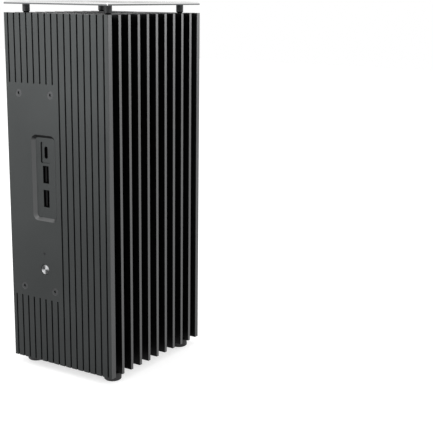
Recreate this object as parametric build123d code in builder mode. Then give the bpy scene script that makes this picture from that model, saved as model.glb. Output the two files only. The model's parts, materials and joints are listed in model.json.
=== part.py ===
from build123d import *
import os

# A fanless tower mini PC. Millimetres, +Z up, origin under the middle of the feet.
# Front is -Y. "side" is -1 for the front or left piece and +1 for the rear or right
# one: each pair is the same shape turned half a turn about Z.

# Case
case_width = 96.0
case_depth = 113.5
body_height = 261.5
foot_height = 6.0
foot_radius = 6.5
panel_thickness = 4.2
panel_edge = 0.4
seat_gap = 0.1

# Ribbed face of a panel
groove_count = 16
groove_pitch = 5.88
groove_width = 1.3
groove_floor = 0.6
groove_depth = 1.2
plain_length = 161.5

# Heatsinks
fin_count = 9
fin_pitch = 10.9
fin_thickness = 2.6
sink_wall_inner = 21.8
sink_wall = 5.2
middle_gap = 1.5
compartment_length = 138.0
compartment_foot = 61.75
post_boss_radius = 3.5
panel_rib_width = 8.0

# Centre braces
brace_width = 17.0
brace_reach = 7.0
brace_slot_depth = 3.0

# Divider plates that close the mainboard compartment
divider_thickness = 1.0
divider_screw_length = 7.0

# Top grille
grille_thickness = 2.0
grille_corner = 1.0
grille_chamfer = 1.0
post_height = 6.1
post_radius = 2.7
post_neck = 1.8
post_inset = 10.0
ring_outer = (67.5, 99.4)
ring_inner = (50.5, 70.4)
ring_bridge = 8.5
window = (39.4, 58.6)
window_island = (15.4, 34.0)
window_tie = 2.4

# Fasteners
m3_shank = 1.45
m3_head = 2.8
m3_tapped = 1.5
m3_clear = 1.65
m2_shank = 1.2
m2_head = 2.3
m2_tapped = 1.25
m2_clear = 1.35
driver_depth = 0.8
head_seat = 0.1
panel_screw_length = 9.0
panel_screw_rise = 73.3
brace_screw_offset = 5.3
rib_screw_offset = 35.6
grille_screw_length = 14.0
foot_screw_length = 11.0

# Front ports and controls: distance from the centreline, height above the body's foot
pocket_offset = 13.2
pocket_height = 142.5
pocket_rim = (22.9, 64.1)
pocket_slope = 2.2
pocket_depth = 2.2
pocket_corner = 4.5
front_usb_c_height = 161.5
front_usb_a_heights = (145.2, 127.2)
button_offset = 14.6
button_height = 73.2
button_radius = 3.9
button_clearance = 0.1
button_recess = 0.1
button_travel = 0.5
button_flange = 5.2
button_flange_thickness = 1.05
button_flange_gap = 0.3
retainer_wall = 1.4
switch_tip_gap = 3.85
switch_front_gap = 4.75
switch_depth = 4.0
switch_plunger_radius = 1.6
led_height = 85.5
light_pipe_radius = 1.0

# Rear ports
dc_place = (15.0, 157.2)
stack_heights = (141.0, 83.0)
stack_usb_c_offset = 6.0
stack_hdmi_offset = 17.1
network_place = (12.4, 121.7)
rear_usb_height = 103.2
rear_usb_offsets = (8.9, 17.8)
lock_place = (17.8, 191.3)
lock_slot = (3.0, 7.0)
lock_wall = 2.0
lock_room = 13.0
antenna_offset = 37.8
antenna_heights = (192.8, 70.0)
antenna_radius = 3.25

# Port sizes, long side first
usb_a_mouth = (13.1, 5.6)
usb_c_mouth = (9.1, 3.3)
usb_c_recess = (15.6, 9.0)
usb_c_recess_depth = 0.8
hdmi_mouth = (14.4, 4.9)
network_mouth = (14.9, 10.8)
dc_mouth_radius = 3.2
port_clearance = 0.15
shell_wall = 0.3
port_setback = 0.2

# Mainboard
board_size = 101.6
board_thickness = 1.6
board_left_face = 2.4
board_foot = 67.5
board_hole_inset = 4.5
front_hole_y = -25.0
rear_hole_y = 45.8

# Processor and heat path
cpu_y = 6.0
cpu_size = (26.0, 45.0)
cpu_height = 2.2
pad_thickness = 0.5
block_size = (52.0, 42.0)
block_hole_inset = 4.0

# Cards on the mainboard
lower_socket_y = 11.0
lower_socket_height = 4.6
upper_socket_y = 19.0
upper_socket_height = 9.4
memory_chip_places = (-24.0, -10.0, 10.0, 24.0)
ssd_y_span = (-47.0, -25.0)
ssd_face = 7.2
ssd_foot = 74.0
ssd_length = 80.0

# Front board and its cable
io_board_left_face = -9.7
io_board_depth = 19.0
io_board_foot = 66.0
io_board_length = 106.0
io_hole_heights = (100.0, 154.0)
header_y = (-40.0, -35.0)
header_rise = 118.0
header_half = 7.0
header_height = 2.6

# Values worked out from the sizes above
foot_z = foot_height
top_z = foot_z + body_height
mid_z = foot_z + compartment_foot + compartment_length / 2
grille_z = top_z + post_height
outer_y = case_depth / 2
inner_y = outer_y - panel_thickness
compartment_top = compartment_foot + compartment_length
plain_foot = mid_z - plain_length / 2
plain_top = mid_z + plain_length / 2
fin_rows = [(row - (fin_count - 1) / 2) * fin_pitch for row in range(fin_count)]
end_fin_y = fin_rows[-1]
post_x = case_width / 2 - post_inset
sink_wall_outer = sink_wall_inner + sink_wall
brace_inner_y = end_fin_y - brace_reach
board_right_face = board_left_face + board_thickness
board_top = board_foot + board_size
board_mid = foot_z + board_foot + board_size / 2
io_board_right_face = io_board_left_face + board_thickness
io_board_front = -inner_y + 3.25
port_face = outer_y - pocket_depth - port_setback
switch_tip_y = inner_y - switch_tip_gap
switch_front_y = inner_y - switch_front_gap
switch_back_y = switch_front_y - switch_depth
block_face = board_left_face - cpu_height - pad_thickness
ssd_mid_y = (ssd_y_span[0] + ssd_y_span[1]) / 2
screw_heights = (mid_z - panel_screw_rise, mid_z + panel_screw_rise)


def span_box(x_span, y_span, z_span, mode=Mode.ADD):
    """Add or cut a box between two limits on each axis."""
    spans = (x_span, y_span, z_span)
    with Locations(tuple((low + high) / 2 for low, high in spans)):
        Box(*(abs(high - low) for low, high in spans), mode=mode)


def face_plane(side, distance=outer_y):
    """Plane facing out of the front or rear, with its y up the case."""
    return Plane(origin=(0, side * distance, 0), x_dir=(-side, 0, 0), z_dir=(0, side, 0))


def countersunk_screw(length, shank, head):
    """Screw pointing down -Z, with its flush head at z = 0."""
    with BuildPart() as screw:
        with BuildSketch(Plane.XZ):
            with BuildLine():
                Polyline((0, 0), (head, 0), (shank, shank - head), (shank, -length), (0, -length))
                Line((0, -length), (0, 0))
            make_face()
        revolve(axis=Axis.Z)
        with BuildSketch(Plane.XY):
            RegularPolygon(radius=shank * 0.8, side_count=6)
        extrude(amount=-driver_depth, mode=Mode.SUBTRACT)
    return screw.part


def round_head_screw(length, shank, head, head_height):
    """Screw pointing down -Z, with its head above z = 0."""
    with BuildPart() as screw:
        with BuildSketch():
            Circle(head)
        extrude(amount=head_height)
        fillet(screw.edges().sort_by(Axis.Z)[-1], head_height * 0.4)
        with BuildSketch(Plane.XY.offset(head_height)):
            RegularPolygon(radius=shank * 0.8, side_count=6)
        extrude(amount=-head_height * 0.6, mode=Mode.SUBTRACT)
        with BuildSketch():
            Circle(shank)
        extrude(amount=-length)
    return screw.part


def cut_grooves(side, rows, foot, length):
    """Cut vertical grooves into a panel's outer face at the given rows."""
    skin = side * outer_y
    floor = side * (outer_y - groove_depth)
    half, half_floor = groove_width / 2, groove_floor / 2
    with BuildSketch(Plane.XY.offset(foot)) as grooves:
        with Locations(*[(x, 0) for x in rows]):
            Polygon(
                (-half, skin), (half, skin), (half_floor, floor), (-half_floor, floor), align=None
            )
    extrude(grooves.sketch, amount=length, mode=Mode.SUBTRACT)


def panel_blank(side):
    """Ribbed panel with its screw holes and no openings."""
    rows = [(row + 0.5) * groove_pitch for row in range(groove_count // 2)]
    with BuildPart() as panel:
        with BuildSketch(Plane.XY.offset(foot_z)):
            with Locations((0, side * (outer_y + inner_y) / 2)):
                Rectangle(case_width, panel_thickness)
        extrude(amount=body_height)
        outer_corners = panel.edges().filter_by(Axis.Z).sort_by(Axis.Y, reverse=side > 0)[:2]
        chamfer(outer_corners, panel_edge)
        cut_grooves(side, [-side * x for x in rows], foot_z, body_height)
        cut_grooves(side, [side * x for x in rows], foot_z, plain_foot - foot_z)
        cut_grooves(side, [side * x for x in rows], plain_top, top_z - plain_top)
        with Locations(face_plane(side)):
            with Locations(*panel_screw_places()):
                CounterSinkHole(m3_clear, m3_head + head_seat, panel_thickness, 90)
    return panel.part


def panel_screw_places():
    """Screw places on a panel, in the panel's own plane."""
    return [(-x, z) for x in (brace_screw_offset, rib_screw_offset) for z in screw_heights]


def cut_mouth(side, place, size, depth=panel_thickness, corner=0.3, start=0.0):
    """Cut a port opening, long side upright, into a panel."""
    long_side, short_side = size
    with BuildSketch(face_plane(side).offset(-start)) as mouth:
        with Locations((-place[0], foot_z + place[1])):
            RectangleRounded(short_side, long_side, corner)
    extrude(mouth.sketch, amount=-depth, mode=Mode.SUBTRACT)


def front_panel():
    blank = panel_blank(-1)
    with BuildPart() as panel:
        add(blank)
        pocket = (-pocket_offset, foot_z + pocket_height)
        with BuildSketch(face_plane(-1)):
            with Locations(pocket):
                RectangleRounded(*pocket_rim, pocket_corner)
        with BuildSketch(face_plane(-1).offset(-pocket_depth)):
            with Locations(pocket):
                RectangleRounded(
                    pocket_rim[0] - 2 * pocket_slope,
                    pocket_rim[1] - 2 * pocket_slope,
                    pocket_corner - pocket_slope,
                )
        loft(mode=Mode.SUBTRACT)
        cut_mouth(-1, (pocket_offset, front_usb_c_height), usb_c_mouth, corner=1.6)
        cut_mouth(
            -1,
            (pocket_offset, front_usb_c_height),
            usb_c_recess,
            pocket_depth + usb_c_recess_depth,
            1.0,
        )
        for height in front_usb_a_heights:
            cut_mouth(-1, (pocket_offset, height), usb_a_mouth)
        with Locations(face_plane(-1)):
            with Locations((-button_offset, foot_z + button_height)):
                Hole(button_radius + button_clearance, panel_thickness)
            with Locations((-button_offset, foot_z + led_height)):
                Hole(light_pipe_radius + seat_gap / 2, panel_thickness)
    return panel.part


def rear_panel():
    blank = panel_blank(1)
    with BuildPart() as panel:
        add(blank)
        for height in stack_heights:
            cut_mouth(1, (stack_hdmi_offset, height), hdmi_mouth)
            cut_mouth(1, (stack_usb_c_offset, height), usb_c_mouth, corner=1.6)
            cut_mouth(1, (stack_usb_c_offset, height), usb_c_recess, usb_c_recess_depth, 1.0)
        cut_mouth(1, network_place, network_mouth)
        for offset in rear_usb_offsets:
            cut_mouth(1, (offset, rear_usb_height), usb_a_mouth)
        cut_mouth(1, lock_place, (lock_slot[1], lock_slot[0]), corner=1.2)
        cut_mouth(1, lock_place, (lock_room, lock_slot[0] + 4), panel_thickness, 1.0, lock_wall)
        with Locations(face_plane(1)):
            with Locations((-dc_place[0], foot_z + dc_place[1])):
                Hole(dc_mouth_radius + port_clearance, panel_thickness)
            with Locations(*[(-antenna_offset, foot_z + z) for z in antenna_heights]):
                Hole(antenna_radius, panel_thickness)
    return panel.part


def heatsink(side):
    """Finned side of the case, bored for the grille posts, feet and one panel."""
    fin_length = case_width / 2 - sink_wall_outer
    with BuildPart() as sink:
        with BuildSketch(Plane.XY.offset(foot_z)):
            with Locations((side * (sink_wall_inner + sink_wall / 2), 0)):
                Rectangle(sink_wall, 2 * (inner_y - seat_gap))
            with Locations(*[(side * (sink_wall_outer + fin_length / 2), y) for y in fin_rows]):
                Rectangle(fin_length, fin_thickness)
            with Locations(*[(side * post_x, end * end_fin_y) for end in (-1, 1)]):
                Circle(post_boss_radius)
            with Locations((side * rib_screw_offset, side * (end_fin_y + inner_y - seat_gap) / 2)):
                Rectangle(panel_rib_width, inner_y - seat_gap - end_fin_y)
        extrude(amount=body_height)
        for start, length in ((foot_z, compartment_foot), (foot_z + compartment_top, body_height - compartment_top)):
            with BuildSketch(Plane.XY.offset(start)):
                for y in fin_rows:
                    tip = middle_gap / 2
                    if abs(y) == end_fin_y:
                        tip = brace_width / 2 - brace_slot_depth + seat_gap
                    with Locations((side * (sink_wall_inner + tip) / 2, y)):
                        Rectangle(sink_wall_inner - tip, fin_thickness)
            extrude(amount=length)
        corners = [(side * post_x, end * end_fin_y) for end in (-1, 1)]
        with Locations(Plane.XY.offset(top_z)):
            with Locations(*corners):
                Hole(m2_tapped, grille_screw_length)
        with Locations(Plane.XY.offset(foot_z).rotated((180, 0, 0))):
            with Locations(*corners):
                Hole(m3_tapped, foot_screw_length)
        with Locations(face_plane(side, inner_y - seat_gap)):
            with Locations(*[(-rib_screw_offset, z) for z in screw_heights]):
                Hole(m3_tapped, panel_screw_length)
    return sink.part


def brace(side, upper):
    """Block between the two heatsinks that a panel and a divider are screwed to."""
    front, back = side * (inner_y - seat_gap), side * brace_inner_y
    foot = foot_z + compartment_top if upper else foot_z
    length = body_height - compartment_top if upper else compartment_foot
    slot_width = fin_thickness + 2 * seat_gap
    with BuildPart() as bar:
        with BuildSketch(Plane.XY.offset(foot)):
            with Locations((0, (front + back) / 2)):
                Rectangle(brace_width, abs(front - back))
            with Locations(*[(x * brace_width / 2, side * end_fin_y) for x in (-1, 1)]):
                Rectangle(2 * brace_slot_depth, slot_width, mode=Mode.SUBTRACT)
        extrude(amount=length)
        with Locations(face_plane(side, inner_y - seat_gap)):
            with Locations((-brace_screw_offset, screw_heights[upper])):
                Hole(m3_tapped, panel_screw_length)
        with Locations(divider_screw_plane(upper)):
            with Locations((0, end_fin_y), (0, -end_fin_y)):
                Hole(m3_tapped, divider_screw_length + divider_thickness)
    return bar.part


def divider_screw_plane(upper):
    """Face of a divider that looks into the compartment, with z out of it."""
    if upper:
        return Plane.XY.offset(foot_z + compartment_top - divider_thickness).rotated((180, 0, 0))
    return Plane.XY.offset(foot_z + compartment_foot + divider_thickness)


def divider(upper):
    """Plate that closes one end of the mainboard compartment."""
    with BuildPart() as plate:
        with BuildSketch(divider_screw_plane(upper)):
            Rectangle(2 * (sink_wall_inner - seat_gap), 2 * (inner_y - seat_gap))
        extrude(amount=-divider_thickness)
        with Locations(divider_screw_plane(upper)):
            with Locations((0, end_fin_y), (0, -end_fin_y)):
                Hole(m3_clear, divider_thickness)
    return plate.part


def divider_screws():
    screw = round_head_screw(divider_screw_length, m3_shank, m3_head, 1.8)
    with BuildPart() as screws:
        for upper in (False, True):
            with Locations(divider_screw_plane(upper)):
                with Locations((0, end_fin_y), (0, -end_fin_y)):
                    add(screw)
    return screws.part


def top_grille():
    with BuildPart() as grille:
        with BuildSketch(Plane.XY.offset(grille_z)):
            RectangleRounded(case_width, case_depth, grille_corner)
        extrude(amount=grille_thickness)
        with BuildSketch(Plane.XY.offset(grille_z)):
            Rectangle(*ring_outer)
            Rectangle(*ring_inner, mode=Mode.SUBTRACT)
            Rectangle(ring_outer[0], ring_bridge, mode=Mode.SUBTRACT)
            Rectangle(*window)
            Rectangle(*window_island, mode=Mode.SUBTRACT)
            Rectangle(window_tie, window[1], mode=Mode.SUBTRACT)
        extrude(amount=grille_thickness, mode=Mode.SUBTRACT)
        chamfer(grille.faces().sort_by(Axis.Z)[-1].edges(), grille_chamfer)
        with Locations(Plane.XY.offset(grille_z + grille_thickness)):
            with GridLocations(2 * post_x, 2 * end_fin_y, 2, 2):
                CounterSinkHole(m2_clear, m2_head + head_seat, grille_thickness, 90)
    return grille.part


def grille_posts():
    with BuildPart() as posts:
        with GridLocations(2 * post_x, 2 * end_fin_y, 2, 2):
            with Locations((0, 0, top_z)):
                Cylinder(post_radius, post_height, align=(Align.CENTER, Align.CENTER, Align.MIN))
        chamfer(posts.edges().group_by(Axis.Z)[0], post_radius - post_neck)
        with Locations(Plane.XY.offset(grille_z)):
            with GridLocations(2 * post_x, 2 * end_fin_y, 2, 2):
                Hole(m2_clear, post_height)
    return posts.part


def grille_screws():
    screw = countersunk_screw(grille_screw_length, m2_shank, m2_head)
    with BuildPart() as screws:
        with Locations((0, 0, grille_z + grille_thickness - head_seat)):
            with GridLocations(2 * post_x, 2 * end_fin_y, 2, 2):
                add(screw)
    return screws.part


def panel_screws(side):
    screw = countersunk_screw(panel_screw_length, m3_shank, m3_head)
    with BuildPart() as screws:
        with Locations(face_plane(side, outer_y - head_seat)):
            with Locations(*panel_screw_places()):
                add(screw)
    return screws.part


def foot(x_side, y_side):
    """Round rubber foot with a sunk screw hole."""
    with BuildPart() as pad:
        with BuildSketch():
            with Locations((x_side * post_x, y_side * end_fin_y)):
                Circle(foot_radius)
        extrude(amount=foot_height)
        chamfer(pad.edges().group_by(Axis.Z)[0], 0.8)
        with Locations(Plane.XY.rotated((180, 0, 0))):
            with Locations((x_side * post_x, -y_side * end_fin_y)):
                CounterBoreHole(m3_clear, m3_head + 0.4, foot_height / 2, foot_height)
    return pad.part


def foot_screws():
    screw = round_head_screw(foot_screw_length - 1, m3_shank, m3_head, 1.6)
    with BuildPart() as screws:
        with Locations(Plane.XY.offset(foot_height / 2).rotated((180, 0, 0))):
            with GridLocations(2 * post_x, 2 * end_fin_y, 2, 2):
                add(screw)
    return screws.part


def power_button():
    """Turned metal button with a flange behind the panel and a stem to the switch."""
    flange_start = inner_y - button_flange_gap
    stem_start = flange_start - button_flange_thickness
    with BuildPart() as button:
        with BuildSketch(face_plane(-1, outer_y - button_recess)):
            with Locations((-button_offset, foot_z + button_height)):
                Circle(button_radius)
        extrude(amount=-(outer_y - button_recess - flange_start))
        chamfer(button.edges().group_by(Axis.Y)[0], 0.3)
        with BuildSketch(face_plane(-1, flange_start)):
            with Locations((-button_offset, foot_z + button_height)):
                Circle(button_flange)
        extrude(amount=-button_flange_thickness)
        with BuildSketch(face_plane(-1, stem_start)):
            with Locations((-button_offset, foot_z + button_height)):
                Circle(2.0)
        extrude(amount=-(stem_start - switch_tip_y))
    return button.part


def button_retainer():
    """Cup fixed behind the panel that keeps the button's flange in place."""
    lip_y = inner_y - button_flange_gap - button_flange_thickness - button_travel - 0.3
    place = (-button_offset, foot_z + button_height)
    with BuildPart() as ring:
        with BuildSketch(face_plane(-1, inner_y)):
            with Locations(place):
                Circle(button_flange + 0.3 + retainer_wall)
        extrude(amount=-(inner_y - lip_y + 0.8))
        with BuildSketch(face_plane(-1, inner_y)):
            with Locations(place):
                Circle(button_flange + 0.3)
        extrude(amount=-(inner_y - lip_y), mode=Mode.SUBTRACT)
        with BuildSketch(face_plane(-1, inner_y)):
            with Locations(place):
                Circle(3.0)
        extrude(amount=-panel_thickness, mode=Mode.SUBTRACT)
    return ring.part


def switch_plunger():
    with BuildPart() as plunger:
        with BuildSketch(face_plane(-1, switch_tip_y)):
            with Locations((-button_offset, foot_z + button_height)):
                Circle(switch_plunger_radius)
        extrude(amount=-(switch_tip_y - switch_back_y - 1.0 - button_travel))
    return plunger.part


def power_switch():
    reach = 3.0
    z = foot_z + button_height
    with BuildPart() as switch:
        span_box(
            (-button_offset - reach, io_board_left_face),
            (-switch_front_y, -switch_back_y),
            (z - reach, z + reach),
        )
        with Locations(face_plane(-1, switch_front_y)):
            with Locations((-button_offset, z)):
                Hole(switch_plunger_radius + 0.05, switch_front_y - switch_back_y - 0.7)
    return switch.part


def light_pipe():
    with BuildPart() as pipe:
        with BuildSketch(face_plane(-1, outer_y - button_recess)):
            with Locations((-button_offset, foot_z + led_height)):
                Circle(light_pipe_radius)
        extrude(amount=-(panel_thickness + 2.0))
    return pipe.part


def status_led():
    z = foot_z + led_height
    back = outer_y - button_recess - panel_thickness - 2.0
    with BuildPart() as led:
        span_box(
            (-button_offset - 1.5, io_board_left_face), (-back, -back + 3.0), (z - 1.5, z + 1.5)
        )
    return led.part


def front_io_board():
    z = foot_z + io_board_foot
    back = io_board_front + io_board_depth
    with BuildPart() as board:
        span_box(
            (io_board_left_face, io_board_right_face),
            (io_board_front, back),
            (z, z + io_board_length),
        )
        with Locations(Plane(origin=(io_board_right_face, 0, 0), z_dir=(1, 0, 0), x_dir=(0, 1, 0))):
            with Locations(*[(back - 3.5, foot_z + h) for h in io_hole_heights]):
                Hole(m2_clear, board_thickness)
    return board.part


def cross_plane(x, side):
    """Plane facing along +X or -X with its y up the case."""
    return Plane(origin=(x, 0, 0), x_dir=(0, side, 0), z_dir=(side, 0, 0))


def io_standoffs():
    y = io_board_front + io_board_depth - 3.5
    with BuildPart() as standoffs:
        with BuildSketch(cross_plane(io_board_left_face, -1)):
            with Locations(*[(-y, foot_z + h) for h in io_hole_heights]):
                RegularPolygon(radius=2.6, side_count=6)
        extrude(amount=sink_wall_inner + io_board_left_face)
        with Locations(cross_plane(io_board_left_face, 1)):
            with Locations(*[(y, foot_z + h) for h in io_hole_heights]):
                Hole(m2_tapped, 8.0)
    return standoffs.part


def io_screws():
    y = io_board_front + io_board_depth - 3.5
    screw = round_head_screw(7.0, m2_shank, 2.2, 1.4)
    with BuildPart() as screws:
        with Locations(cross_plane(io_board_right_face, 1)):
            with Locations(*[(y, foot_z + h) for h in io_hole_heights]):
                add(screw)
    return screws.part


def usb_a_shell(side, x, height, face, depth):
    """Metal shell of one USB-A socket in the builder that calls it."""
    half_long = usb_a_mouth[0] / 2 - port_clearance
    half_short = usb_a_mouth[1] / 2 - port_clearance
    z = foot_z + height
    span_box(
        (x - half_short, x + half_short),
        (side * face, side * (face - depth)),
        (z - half_long, z + half_long),
    )
    span_box(
        (x - half_short + shell_wall, x + half_short - shell_wall),
        (side * face, side * (face - depth + 3.0)),
        (z - half_long + shell_wall, z + half_long - shell_wall),
        Mode.SUBTRACT,
    )


def front_usb_a_ports():
    with BuildPart() as ports:
        for height in front_usb_a_heights:
            usb_a_shell(-1, -pocket_offset, height, port_face, 16.0)
            z = foot_z + height
            span_box(
                (-pocket_offset + 2.0, io_board_left_face),
                (-inner_y + 2.0, -port_face + 16.0),
                (z - 6.0, z + 6.0),
            )
            span_box(
                (-pocket_offset - 2.0, -pocket_offset + 2.0),
                (-port_face, -port_face + 13.0),
                (z - 6.0, z + 6.0),
                Mode.SUBTRACT,
            )
    return ports.part


def usb_c_shell(side, x, height, face, depth):
    """Rounded metal shell of one USB-C socket in the builder that calls it."""
    half_long = usb_c_mouth[0] / 2 - port_clearance
    half_short = usb_c_mouth[1] / 2 - port_clearance
    with BuildSketch(face_plane(side, face)) as outside:
        with Locations((side * -x, foot_z + height)):
            RectangleRounded(2 * half_short, 2 * half_long, half_short - 0.05)
    extrude(outside.sketch, amount=-depth)
    with BuildSketch(face_plane(side, face)) as inside:
        with Locations((side * -x, foot_z + height)):
            RectangleRounded(
                2 * (half_short - shell_wall),
                2 * (half_long - shell_wall),
                half_short - shell_wall - 0.05,
            )
    extrude(inside.sketch, amount=-(depth - 1.5), mode=Mode.SUBTRACT)


def front_usb_c_port():
    face = port_face - usb_c_recess_depth
    z = foot_z + front_usb_c_height
    with BuildPart() as port:
        usb_c_shell(-1, -pocket_offset, front_usb_c_height, face, 9.0)
        span_box(
            (-pocket_offset + 1.4, io_board_left_face),
            (-face + 6.0, -face + 9.0),
            (z - 4.0, z + 4.0),
        )
    return port.part


def front_port_tongues():
    with BuildPart() as tongues:
        for height in front_usb_a_heights:
            z = foot_z + height
            span_box(
                (-pocket_offset - 1.9, -pocket_offset - 0.1),
                (-port_face + 1.0, -port_face + 13.0),
                (z - 5.6, z + 5.6),
            )
        z = foot_z + front_usb_c_height
        face = port_face - usb_c_recess_depth
        span_box(
            (-pocket_offset - 0.35, -pocket_offset + 0.35),
            (-face + 1.0, -face + 7.5),
            (z - 3.3, z + 3.3),
        )
    return tongues.part


def mainboard():
    z = foot_z + board_foot
    with BuildPart() as board:
        span_box(
            (board_left_face, board_right_face),
            (-board_size / 2, board_size / 2),
            (z, z + board_size),
        )
        with Locations(cross_plane(board_right_face, 1)):
            with Locations(*board_holes()):
                Hole(m3_clear, board_thickness)
            with Locations(*block_holes()):
                Hole(m2_clear, board_thickness)
    return board.part


def board_holes():
    """Mounting holes of the mainboard, as (y, z)."""
    low = foot_z + board_foot + board_hole_inset
    high = low + board_size - 2 * board_hole_inset
    return [(y, z) for y in (front_hole_y, rear_hole_y) for z in (low, high)]


def block_holes():
    """Screws that hold the heat block against the processor, as (y, z)."""
    reach_y = block_size[0] / 2 - block_hole_inset
    reach_z = block_size[1] / 2 - block_hole_inset
    return [
        (cpu_y + a * reach_y, board_mid + b * reach_z) for a in (-1, 1) for b in (-1, 1)
    ]


def board_standoffs():
    with BuildPart() as standoffs:
        with BuildSketch(cross_plane(board_left_face, -1)):
            with Locations(*[(-y, z) for y, z in board_holes()]):
                RegularPolygon(radius=3.2, side_count=6)
        extrude(amount=sink_wall_inner + board_left_face)
        with Locations(cross_plane(board_left_face, 1)):
            with Locations(*board_holes()):
                Hole(m3_tapped, 9.0)
    return standoffs.part


def board_screws():
    screw = round_head_screw(8.0, m3_shank, m3_head, 1.8)
    with BuildPart() as screws:
        with Locations(cross_plane(board_right_face, 1)):
            with Locations(*board_holes()):
                add(screw)
    return screws.part


def cpu_package():
    with BuildPart() as cpu:
        span_box(
            (board_left_face - cpu_height / 2, board_left_face),
            (cpu_y - cpu_size[1] / 2 + 6, cpu_y + cpu_size[1] / 2 - 6),
            (board_mid - cpu_size[0] / 2, board_mid + cpu_size[0] / 2),
        )
        span_box(
            (board_left_face - cpu_height, board_left_face - cpu_height / 2),
            (cpu_y - 11, cpu_y + 11),
            (board_mid - 7, board_mid + 7),
        )
    return cpu.part


def cpu_pad():
    with BuildPart() as pad:
        span_box(
            (block_face, board_left_face - cpu_height),
            (cpu_y - 11, cpu_y + 11),
            (board_mid - 7, board_mid + 7),
        )
    return pad.part


def heat_block():
    with BuildPart() as block:
        span_box(
            (-sink_wall_inner + pad_thickness, block_face),
            (cpu_y - block_size[0] / 2, cpu_y + block_size[0] / 2),
            (board_mid - block_size[1] / 2, board_mid + block_size[1] / 2),
        )
        chamfer(block.edges().filter_by(Axis.X), 2.0)
        with Locations(cross_plane(block_face, 1)):
            with Locations(*block_holes()):
                Hole(m2_tapped, 9.0)
    return block.part


def sink_pad():
    with BuildPart() as pad:
        span_box(
            (-sink_wall_inner, -sink_wall_inner + pad_thickness),
            (cpu_y - block_size[0] / 2 + 2, cpu_y + block_size[0] / 2 - 2),
            (board_mid - block_size[1] / 2 + 2, board_mid + block_size[1] / 2 - 2),
        )
    return pad.part


def block_screws():
    screw = round_head_screw(12.0, m2_shank, 2.2, 1.6)
    with BuildPart() as screws:
        with Locations(cross_plane(board_right_face, 1)):
            with Locations(*block_holes()):
                add(screw)
    return screws.part


def memory_socket(y_start, height):
    """Angled-entry memory socket with its two latch arms."""
    arm_x = board_right_face + height - 1.8
    with BuildPart() as socket:
        span_box(
            (board_right_face, board_right_face + height),
            (y_start, y_start + 6.0),
            (board_mid - 36.5, board_mid + 36.5),
        )
        span_box(
            (board_right_face + height - 2.3, board_right_face + height - 0.9),
            (y_start - 0.1, y_start + 4.0),
            (board_mid - 34.9, board_mid + 34.9),
            Mode.SUBTRACT,
        )
        for end in (-1, 1):
            span_box(
                (arm_x - 0.6, arm_x + 1.4),
                (y_start - 25.0, y_start),
                (board_mid + end * 35.3, board_mid + end * 36.5),
            )
    return socket.part


def memory_module(y_start, height):
    """Memory card with four chips on its outer face, seated in a socket."""
    face = board_right_face + height - 1.0
    with BuildPart() as module:
        span_box(
            (face - 1.2, face), (y_start - 26.0, y_start + 4.0), (board_mid - 34.8, board_mid + 34.8)
        )
        for place in memory_chip_places:
            span_box(
                (face, face + 1.0),
                (y_start - 19.0, y_start - 8.0),
                (board_mid + place - 5.0, board_mid + place + 5.0),
            )
    return module.part


def ssd_socket():
    z = foot_z + ssd_foot + ssd_length
    with BuildPart() as socket:
        span_box((board_right_face, ssd_face + 1.6), (ssd_y_span[0], ssd_y_span[1]), (z - 3, z + 3))
        span_box(
            (ssd_face - 0.9, ssd_face + 0.1),
            (ssd_y_span[0] - 1, ssd_y_span[1] + 1),
            (z - 4, z + 0.1),
            Mode.SUBTRACT,
        )
    return socket.part


def ssd_card():
    z = foot_z + ssd_foot
    with BuildPart() as card:
        span_box((ssd_face - 0.8, ssd_face), ssd_y_span, (z, z + ssd_length))
        span_box((ssd_face, ssd_face + 1.3), (ssd_mid_y - 8, ssd_mid_y + 8), (z + 10, z + 24))
        span_box((ssd_face, ssd_face + 1.3), (ssd_mid_y - 8, ssd_mid_y + 8), (z + 28, z + 42))
        span_box((ssd_face, ssd_face + 1.1), (ssd_mid_y - 6, ssd_mid_y + 6), (z + 48, z + 60))
        with Locations(cross_plane(ssd_face, 1)):
            with Locations((ssd_mid_y, z + 1.0)):
                Hole(m2_clear, 0.8)
    return card.part


def ssd_standoff():
    with BuildPart() as standoff:
        with BuildSketch(cross_plane(board_right_face, 1)):
            with Locations((ssd_mid_y, foot_z + ssd_foot + 1.0)):
                Circle(2.4)
                Circle(m2_tapped, mode=Mode.SUBTRACT)
        extrude(amount=ssd_face - 0.8 - board_right_face)
    return standoff.part


def ssd_screw():
    screw = round_head_screw(2.6, m2_shank, 2.2, 1.2)
    with BuildPart() as placed:
        with Locations(cross_plane(ssd_face, 1)):
            with Locations((ssd_mid_y, foot_z + ssd_foot + 1.0)):
                add(screw)
    return placed.part


def wifi_module():
    z = foot_z + ssd_foot + 26.0
    with BuildPart() as module:
        span_box((board_right_face, board_right_face + 1.7), (-42.0, -30.0), (z, z + 16.0))
    return module.part


def coin_cell():
    with BuildPart() as cell:
        with BuildSketch(cross_plane(board_left_face, -1)):
            with Locations((-38.0, foot_z + board_foot + 78.0)):
                Circle(10.0)
        extrude(amount=3.2)
        fillet(cell.edges().group_by(Axis.X)[0], 0.5)
    return cell.part


def board_headers():
    """Cable headers on the front board and the mainboard."""
    z = foot_z + header_rise
    with BuildPart() as headers:
        span_box(
            (io_board_right_face, io_board_right_face + header_height),
            header_y,
            (z - header_half, z + header_half),
        )
        span_box(
            (board_left_face - header_height, board_left_face),
            header_y,
            (z - header_half, z + header_half),
        )
    return headers.part


def front_cable():
    """Flat cable that loops from the front board to the mainboard."""
    left = io_board_right_face + header_height / 2
    right = board_left_face - header_height / 2
    bend = header_y[1] + 5.0
    with BuildPart() as cable:
        with BuildSketch(Plane.XY.offset(foot_z + header_rise - header_half + 1.0)):
            with BuildLine():
                Line((left, header_y[1]), (left, bend))
                RadiusArc((left, bend), (right, bend), (right - left) / 2)
                Line((right, bend), (right, header_y[1]))
            trace(line_width=0.6)
        extrude(amount=2 * header_half - 2.0)
    return cable.part


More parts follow.
